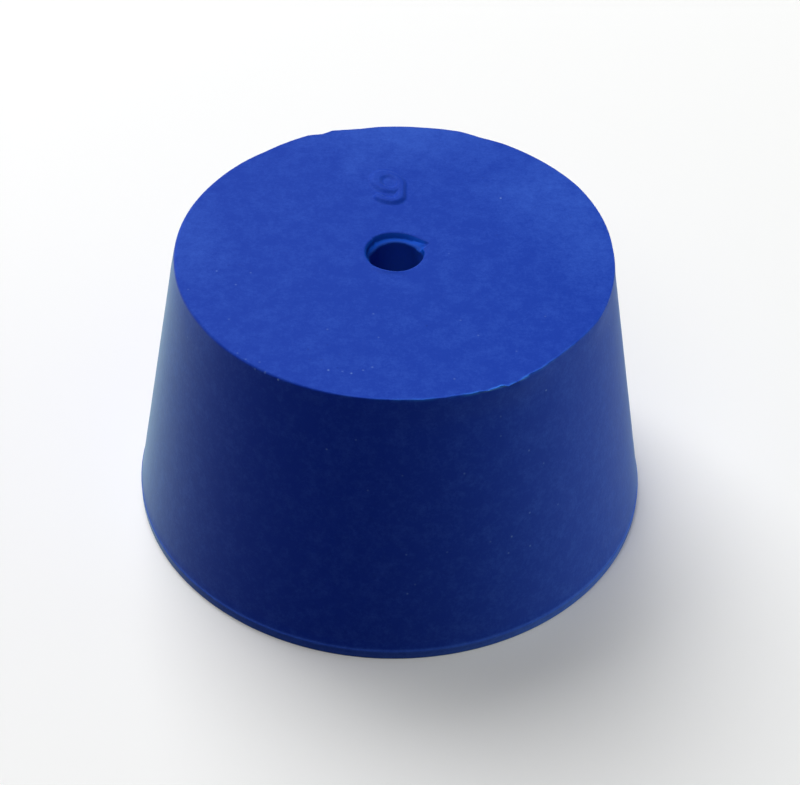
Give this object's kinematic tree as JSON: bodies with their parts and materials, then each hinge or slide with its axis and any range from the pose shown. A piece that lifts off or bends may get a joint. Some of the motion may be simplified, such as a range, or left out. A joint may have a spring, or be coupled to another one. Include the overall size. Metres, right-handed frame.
{
  "type": "rubber stopper",
  "caption": "Tapered solid rubber laboratory stopper with one axial through hole and a short straight band at its large end.",
  "frame": {"origin": "centre of the large end face, which the stopper stands on", "axes": "+Z along the axis from the large face to the small face; +Y towards the top of the size numeral's place"},
  "size_m": [0.045, 0.045, 0.0254],
  "materials": {
    "rubber": "matte"
  },
  "bodies": {
    "root": {"stopper": "rubber"}
  },
  "joints": []
}
